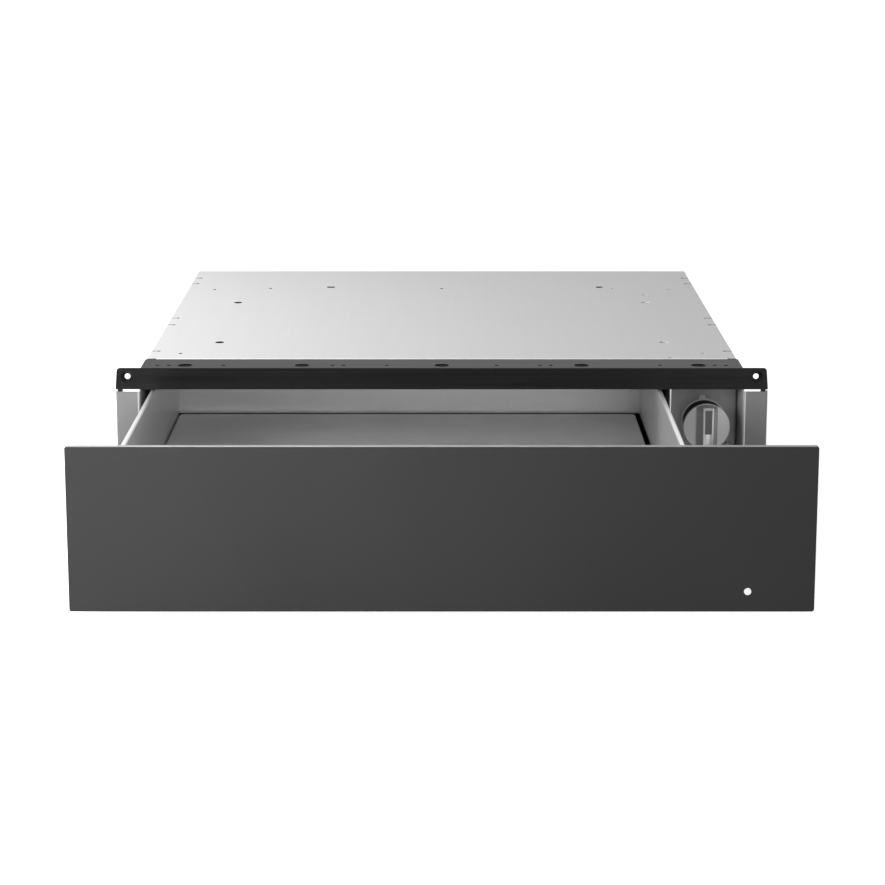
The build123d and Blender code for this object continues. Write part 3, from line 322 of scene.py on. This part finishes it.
# %% Ground stainless steel
def ground_steel(name, level, rough, metallic=1.0, scratch_axis=X):
    """Steel with scratches along one axis: noise that is a hundred times finer along the other two."""
    finish = Finish(name)
    stretch = [900.0, 900.0, 900.0]
    stretch[scratch_axis] = 9.0
    scratches = finish.noise(1.0, detail=4.0, roughness=0.65, stretch=stretch)
    clouds = finish.noise(6.0, detail=2.0)
    finish.paint(
        colour=finish.blend(finish.spread(scratches, 0.0, 1.0), grey(level * 0.94), grey(level * 1.04)),
        roughness=finish.spread(scratches, rough - 0.05, rough + 0.06) + clouds * 0.04,
        metallic=metallic,
    )
    finish.relief(scratches, strength=0.04, depth=0.2 * mm)
    return finish


panel_steel = ground_steel("steel_control_panel", 0.23, rough=0.36, metallic=0.3, scratch_axis=Z).material
wheel_steel = ground_steel("steel_wheel", 0.62, rough=0.34).material
print("ground finishes:", panel_steel.name, wheel_steel.name)

# %% [markdown]
# The pan's rim is folded over, so that nobody is cut when reaching in. The rim is painted a lighter
# grey than the pan, as a painted highlight, and is the brightest thing on the object. The rim is
# everything on the pan above a height that its own box gives. Down in the corner beside the floor
# plate the joint is painted near black as painted shade, and reads as a fine line behind the plate
# and on its right; that mask is the narrow space between the plate's box and the pan's walls.
# Outside, where only the runners see them, the walls were never ground, and a mask on how far a
# point is from the pan's middle leaves them a duller grey.

# %% The pan, its painted rim highlight and its painted shade
pan_low, pan_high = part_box("drawer_pan")
plate_low, plate_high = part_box("floor_plate")
pan_middle = (pan_low.x + pan_high.x) / 2.0
pan_reach = (pan_high.x - pan_low.x) / 2.0

pan = ground_steel("steel_pan", 0.64, rough=0.32, metallic=0.8, scratch_axis=Y)
across, back, up = pan.along(X), pan.along(Y), pan.along(Z)
# painted highlight: the rim takes a lighter grey than the rest of the pan
rim_highlight = up > pan_high.z - 1.6 * mm
# painted shade: the corner between the floor plate and the pan's walls is painted near black
beside = pan.math("MAXIMUM", back > plate_high.y - 2.0 * mm, across > plate_high.x - 2.0 * mm)
beside = beside * (back < plate_high.y + 5.8 * mm) * (across < plate_high.x + 5.4 * mm)
joint_shade = beside * (up < plate_high.z - 0.4 * mm) * (back > plate_low.y)
outside = pan.math("ABSOLUTE", across - pan_middle) > pan_reach - 3.4 * mm
walls = pan.blend(joint_shade, pan.fed_by("Base Color"), grey(0.01))
walls = pan.blend(outside, walls, grey(0.36))
pan.paint(colour=pan.blend(rim_highlight, walls, grey(0.82)))
pan_steel = pan.material
print("pan, mm:", size_in_mm(pan_low, pan_high))

# %% [markdown]
# The rail is steel with a horizontal grain, blackened so thinly that the grain still shows. A low
# specular level keeps it black against a white room, where an ordinary paint would go grey.

# %% Blackened rail
rail = Finish("rail_blacking", Specular_IOR_Level=0.17)
grain = rail.noise(1.0, detail=3.0, roughness=0.6, stretch=(5.0, 600.0, 600.0))
rail.paint(
    colour=rail.blend(rail.spread(grain, 0.0, 1.0), grey(0.002), grey(0.007)),
    roughness=rail.spread(grain, 0.36, 0.50),
)
rail.relief(grain, strength=0.10, depth=0.2 * mm)
rail_black = rail.material
print("rail, mm:", size_in_mm(rail_low, rail_high))

# %% [markdown]
# The front panel is a coated sheet, almost black and satin. Up close such a coating is a very fine
# orange peel, a fraction of a millimetre across, that softens every reflection; from here its colour
# hardly varies at all. The panel's face is what one sees most of, so it must not look like a flat
# fill: slow clouds in the colour keep it alive. Its top edge is painted light grey, a painted
# highlight that shows as a light line.

# %% Satin front coating
front_low, front_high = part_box("front_panel")
front = Finish("satin_front", Specular_IOR_Level=0.06)
peel = front.noise(2200.0, detail=2.0)
clouds = front.noise(5.0, detail=2.0)
face = front.blend(front.spread(clouds, 0.0, 1.0), grey(0.032), grey(0.036))
# painted highlight: the top edge of the panel is painted light grey
top_edge_highlight = front.along(Z) > front_high.z - 0.3 * mm
front.paint(colour=front.blend(top_edge_highlight, face, grey(0.30)), roughness=front.spread(peel, 0.42, 0.52))
front.relief(peel, strength=0.05, depth=0.08 * mm)
front_coating = front.material
print("front, mm:", size_in_mm(front_low, front_high))

# %% [markdown]
# The small pieces are satin plastics, rubber, enamel and plain steel. One recipe serves them all: a
# colour with slow clouds, a fine grain in the shine, and a slight relief of a stated depth, because
# no moulded or cast surface is ever quite smooth.

# %% Moulded, enamelled and plain surfaces
def fine_grained(name, colour, rough, grain_scale, depth, metallic):
    """A surface whose colour varies by a twentieth with slow clouds, and its shine with a fine grain."""
    finish = Finish(name, Metallic=metallic)
    grain = finish.noise(grain_scale, detail=2.0)
    clouds = finish.noise(30.0, detail=2.0)
    dark = tuple(part * 0.94 for part in colour) + (1.0,)
    light = tuple(min(1.0, part * 1.05) for part in colour) + (1.0,)
    finish.paint(
        colour=finish.blend(finish.spread(clouds, 0.0, 1.0), dark, light),
        roughness=finish.spread(grain, rough - 0.04, rough + 0.05),
    )
    finish.relief(grain, strength=0.15, depth=depth)
    return finish


recipes = {  # colour, roughness, grains in a metre, their depth, how metallic
    "enamel_plate": ((0.46, 0.46, 0.46), 0.34, 700.0, 0.03 * mm, 0.0),
    "inlay_dark": ((0.10, 0.10, 0.10), 0.50, 900.0, 0.06 * mm, 0.0),
    "dark_moulding": ((0.05, 0.05, 0.052), 0.50, 900.0, 0.06 * mm, 0.0),
    "light_moulding": ((0.74, 0.73, 0.68), 0.42, 900.0, 0.06 * mm, 0.0),
    "rubber": ((0.035, 0.035, 0.035), 0.75, 500.0, 0.10 * mm, 0.0),
    "screw_zinc": ((0.62, 0.62, 0.60), 0.30, 700.0, 0.03 * mm, 1.0),
    "ball_steel": ((0.78, 0.78, 0.79), 0.10, 700.0, 0.01 * mm, 1.0),
    "motor_laminations": ((0.26, 0.25, 0.24), 0.50, 300.0, 0.10 * mm, 0.8),
    "heater_sheath": ((0.26, 0.24, 0.22), 0.42, 500.0, 0.05 * mm, 0.9),
    "guide_acrylic": ((0.92, 0.92, 0.92), 0.18, 600.0, 0.01 * mm, 0.0),
}
plain = {name: fine_grained(name, *recipe).material for name, recipe in recipes.items()}
print("finishes so far:", len(bpy.data.materials))

# %% [markdown]
# The knob is a satin disc with a grip bar across it. Behind its edge the side steps inwards, as on a
# mushroom, so that the disc seems to float before its ring. One way would be to draw the profile
# and turn it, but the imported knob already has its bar, its pocket and its bore in the right places.
# So a merged copy of it is cut by two planes across its axis, and every point of the side behind
# them moves in to a smaller radius.

# %% The knob with its undercut side
knob_low, knob_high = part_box("knob")
axis_x = (knob_low.x + knob_high.x) / 2.0
axis_z = (knob_low.z + knob_high.z) / 2.0
disc_radius = (knob_high.x - knob_low.x) / 2.0
grip_height = 14.5 * mm
disc_thickness = 2.4 * mm
lip = knob_low.y + grip_height + disc_thickness
step = 0.3 * mm
touching = 1e-6
smooth_up_to = math.radians(32.0)


def undercut(source, name, planes, limit, radius):
    """A merged copy of a turned piece whose side, behind the planes, is drawn in to a radius.

    A point behind the last plane and further than the limit from the axis keeps its Y. Its X and its
    Z, both counted from the axis, are multiplied by the radius over that distance.
    """
    data = source.data.copy()
    shape = bmesh.new()
    shape.from_mesh(data)
    bmesh.ops.remove_doubles(shape, verts=shape.verts, dist=touching)
    for plane in planes:
        parts = list(shape.verts) + list(shape.edges) + list(shape.faces)
        bmesh.ops.bisect_plane(shape, geom=parts, plane_co=(0.0, plane, 0.0), plane_no=(0.0, 1.0, 0.0))
    shape.to_mesh(data)
    shape.free()
    points = np.empty(len(data.vertices) * 3)
    data.vertices.foreach_get("co", points)
    points = points.reshape(-1, 3)
    from_axis = points[:, [X, Z]] - (axis_x, axis_z)
    distance = np.linalg.norm(from_axis, axis=1)
    moved = (points[:, Y] > planes[-1] - touching) & (distance > limit)
    points[moved, X] = axis_x + from_axis[moved, 0] * radius / distance[moved]
    points[moved, Z] = axis_z + from_axis[moved, 1] * radius / distance[moved]
    data.vertices.foreach_set("co", points.ravel())
    data.polygons.foreach_set("use_smooth", np.ones(len(data.polygons), dtype=bool))
    data.set_sharp_from_angle(angle=smooth_up_to)
    data.update()
    piece = bpy.data.objects.new(name, data)
    bpy.context.scene.collection.objects.link(piece)
    return piece


knob_disc = undercut(
    nodes["knob"], "knob_disc", planes=(lip, lip + step), limit=disc_radius - 0.9 * mm, radius=17.2 * mm,
)
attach(knob_disc, "knob")
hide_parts("knob")
print("knob disc, triangles:", len(knob_disc.data.polygons))

# %% [markdown]
# Two masks finish it, and both paint shade. On the knob, a plane across the axis parts the satin disc
# from the side behind it, which is painted black as painted shade, so the mask is the same however
# far the knob is turned. On the ring behind it, the distance from the axis parts the light rim from
# the floor that the knob turns in, which is painted black as painted shade.

# %% The satin of the knob and its ring, and their painted shade
# painted shade: near black for the knob's side behind its lip and for the ring's floor under the knob
shade_black = grey(0.012)
knob = fine_grained("satin_knob", (0.42, 0.42, 0.42), 0.34, 1500.0, 0.03 * mm, 0.3)
knob.paint(colour=knob.blend(knob.along(Y) > lip, knob.fed_by("Base Color"), shade_black))
knob_satin = knob.material

ring_inside = 19.9 * mm
ring = fine_grained("satin_bezel", (0.46, 0.46, 0.46), 0.36, 1500.0, 0.03 * mm, 0.3)
off_x = ring.along(X) - axis_x
off_z = ring.along(Z) - axis_z
on_ring = (off_x * off_x + off_z * off_z) > ring_inside ** 2
ring.paint(colour=ring.blend(on_ring, shade_black, ring.fed_by("Base Color")))
ring_satin = ring.material

# %% [markdown]
# The shapes came with one plain material each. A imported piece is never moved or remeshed; it only
# gets a better finish in its material slot. The list goes by finish, as a paint shop's would, so it
# is easy to see that hidden pieces are as finished as the ones in front. The last line it prints
# names any piece that was forgotten.

# %% Which finish each piece takes
both = ("left", "right")
members = [f"runner_{member}_{side}" for member in ("cabinet", "middle", "drawer") for side in both]
cages = [f"ball_cage_{span}_{side}" for span in ("outer", "inner") for side in both]
balls = [f"balls_{span}_{side}" for span in ("outer", "inner") for side in both]
finished = (
    (lid_zinc, ["cabinet_top"]),
    (side_zinc, ["cabinet_side_left", "cabinet_side_right"]),
    (partition_zinc, ["bay_wall"]),
    (inner_zinc, ["cabinet_base", "cabinet_back", "fan_housing", "front_carrier"]),
    (runner_zinc, ["drawer_brackets", *members]),
    (rail_black, ["front_rail"]),
    (front_coating, ["front_panel"]),
    (pan_steel, ["drawer_pan"]),
    (panel_steel, ["control_panel", "panel_screws"]),
    (wheel_steel, ["fan_wheel"]),
    (knob_satin, ["knob"]),
    (ring_satin, ["knob_bezel"]),
    (plain["enamel_plate"], ["floor_plate"]),
    (plain["inlay_dark"], ["knob_inlay"]),
    (plain["dark_moulding"], ["cable_gland", "latch_body", "thermal_cutout"]),
    (plain["light_moulding"], ["thermostat", "terminal_block", "latch_plunger", "latch_striker"]),
    (plain["rubber"], ["feet", "fan_bearing", "plate_supports", "front_buffers"]),
    (plain["screw_zinc"], ["case_screws", "front_screws", "thermostat_spindle", "fan_stub_shaft", *cages]),
    (plain["ball_steel"], balls),
    (plain["motor_laminations"], ["fan_motor", "fan_rotor"]),
    (plain["heater_sheath"], ["heating_element"]),
    (plain["guide_acrylic"], ["indicator_lamp", "light_guide"]),
)


def dress(piece, material):
    """Gives a piece one material in place of those it came with."""
    piece.data.materials.clear()
    piece.data.materials.append(material)


for material, names in finished:
    for name in names:
        dress(nodes[name], material)
dress(knob_disc, knob_satin)
print("without a finish:", sorted(set(nodes) - {name for material, names in finished for name in names}))

# %% [markdown]
# The studio is a wide pale floor that goes on past every view. Seen directly, in a reflection or
# through something clear, it is plain white, because a glow that only those rays see lifts it. But
# it is a real surface, and keeps the object's shadow: the glow is a little weaker near the object,
# where the lamps light the floor and the shadow lies, and grows with the square of the distance.

# %% Floor
floor_half = 40.0
glow_near, glow_far = 0.8, 1.0
full_glow_squared = 2.5     # the square of the distance, in metres, from where the glow is full
corners = np.array([(-1.0, -1.0, 0.0), (1.0, -1.0, 0.0), (1.0, 1.0, 0.0), (-1.0, 1.0, 0.0)]) * floor_half
floor_mesh = bpy.data.meshes.new("studio_floor")
floor_mesh.from_pydata(corners.tolist(), [], [(0, 1, 2, 3)])
floor = bpy.data.objects.new("studio_floor", floor_mesh)
bpy.context.scene.collection.objects.link(floor)

pale = Finish("studio_floor", Roughness=0.9, Emission_Color=grey(1.0))
pale.paint(colour=grey(0.6))
ray = pale.node("ShaderNodeLightPath")
mirrored = pale.math("MAXIMUM", ray.outputs["Is Glossy Ray"], ray.outputs["Is Transmission Ray"])
seen = pale.math("MAXIMUM", ray.outputs["Is Camera Ray"], mirrored)
away = pale.along(X) * pale.along(X) + pale.along(Y) * pale.along(Y)
away = pale.math("MINIMUM", away / full_glow_squared, 1.0)
glow = away * (glow_far - glow_near) + glow_near
pale.feed(pale.surface.inputs["Emission Strength"], seen * glow)
dress(floor, pale.material)
print("floor, m:", floor_half * 2.0, "square")

# %% [markdown]
# Above the floor is an even surround. It is as white as the floor to the same three kinds of ray. To
# the object's own matt surfaces it is much dimmer, so that the lamps can model the shapes: a bright
# room would light every face alike and leave nothing to see them by.

# %% Surround
room_light = 0.07
world = bpy.data.worlds.new("studio")
bpy.context.scene.world = world
world.use_nodes = True
tree = world.node_tree
tree.nodes.clear()
made = {name: tree.nodes.new(kind) for name, kind in (
    ("dim", "ShaderNodeBackground"), ("white", "ShaderNodeBackground"), ("choose", "ShaderNodeMixShader"),
    ("ray", "ShaderNodeLightPath"), ("either", "ShaderNodeMath"), ("any", "ShaderNodeMath"),
    ("output", "ShaderNodeOutputWorld"),
)}
for name, strength in (("dim", room_light), ("white", 1.0)):
    made[name].inputs["Color"].default_value = grey(1.0)
    made[name].inputs["Strength"].default_value = strength
for name in ("either", "any"):
    made[name].operation = "MAXIMUM"
for start, end in (
    (made["ray"].outputs["Is Camera Ray"], made["either"].inputs[0]),
    (made["ray"].outputs["Is Glossy Ray"], made["either"].inputs[1]),
    (made["either"].outputs[0], made["any"].inputs[0]),
    (made["ray"].outputs["Is Transmission Ray"], made["any"].inputs[1]),
    (made["any"].outputs[0], made["choose"].inputs["Fac"]),
    (made["dim"].outputs["Background"], made["choose"].inputs[1]),
    (made["white"].outputs["Background"], made["choose"].inputs[2]),
    (made["choose"].outputs["Shader"], made["output"].inputs["Surface"]),
):
    tree.links.new(start, end)
print("surround:", room_light, "to matt surfaces, 1.0 to the eye")

# %% [markdown]
# In the photograph everything is bright on the left and falls off to the right, and the control bay
# is darkest right behind its partition. That is one large soft lamp on the left, not far away. Light
# reaches the inside of the pan only between the rail and the top of the front panel, so three lamps
# stand in front at a low angle: a wide one, a smaller one on the left, and a weak one behind a narrow
# grid that points into the pan's left corner. The last lamp fills in the right side and the back. Three
# of them are kept out of reflections, or they would burn white patches into the steel.

# %% Soft boxes
def soft_box(name, place, aim, size, power, spread=180.0):
    """An area lamp of a given size in metres, turned towards a point; a grid narrows its spread."""
    data = bpy.data.lights.new(name, "AREA")
    data.shape = "RECTANGLE"
    data.size, data.size_y = size
    data.energy = power
    data.spread = math.radians(spread)
    lamp = bpy.data.objects.new(name, data)
    bpy.context.scene.collection.objects.link(lamp)
    lamp.location = place
    lamp.rotation_mode = "QUATERNION"
    lamp.rotation_quaternion = (Vector(aim) - Vector(place)).to_track_quat("-Z", "Y")
    return lamp


key = soft_box("key_left", (-0.95, 0.1, 0.75), (-0.35, 0.15, 0.14), size=(0.7, 0.7), power=21.0)
low_left = soft_box(
    "front_left", (-0.8, -0.9, 0.4), (-0.2, -0.4, 0.2), size=(0.5, 0.4), power=4.6, spread=100.0,
)
soft_box("front_wide", (0.6, -2.8, 1.15), (0.0, 0.0, 0.08), size=(2.0, 1.9), power=32.0)
into_pan = soft_box(
    "pan_lift", (0.25, -1.9, 0.65), (-0.27, 0.04, 0.06), size=(0.3, 0.1), power=0.17, spread=20.0,
)
soft_box("fill_right", (2.4, 1.6, 0.6), (0.2, 0.2, 0.07), size=(1.2, 0.8), power=26.0)
for unmirrored in (key, low_left, into_pan):
    unmirrored.visible_glossy = False
print("lamps:", len(bpy.data.lights), "in all, W:", round(sum(lamp.energy for lamp in bpy.data.lights), 1))

# %% [markdown]
# The camera stands about two metres in front of the case and looks down a little, with a long
# lens. Its distance, tilt and lens come from the photograph's vanishing lines; the small shift only
# puts the object where it stands in the frame.

# %% Camera
focal_pixels = 2383.0
frame_pixels = 885.0
tilt = math.radians(11.604)
before_rail = 2.1249
above_lid = 0.4495
camera_data = bpy.data.cameras.new("camera")
camera_data.sensor_width = 36.0
camera_data.lens = focal_pixels / frame_pixels * camera_data.sensor_width
camera_data.shift_x = 0.0009
camera_data.shift_y = -0.1
camera = bpy.data.objects.new("camera", camera_data)
bpy.context.scene.collection.objects.link(camera)
bpy.context.scene.camera = camera
camera.location = (0.0, rail_low.y - before_rail, lid_high.z + above_lid)
camera.rotation_euler = (math.radians(90.0) - tilt, 0.0, 0.0)
print("lens, mm:", round(camera_data.lens, 1))

# %% [markdown]
# Last comes the colour. The Standard view shows a colour about as it is written, and nothing else
# of the view is touched. No finish or copied piece may make the object any larger.

# %% Colour
bpy.context.scene.view_settings.view_transform = "Standard"
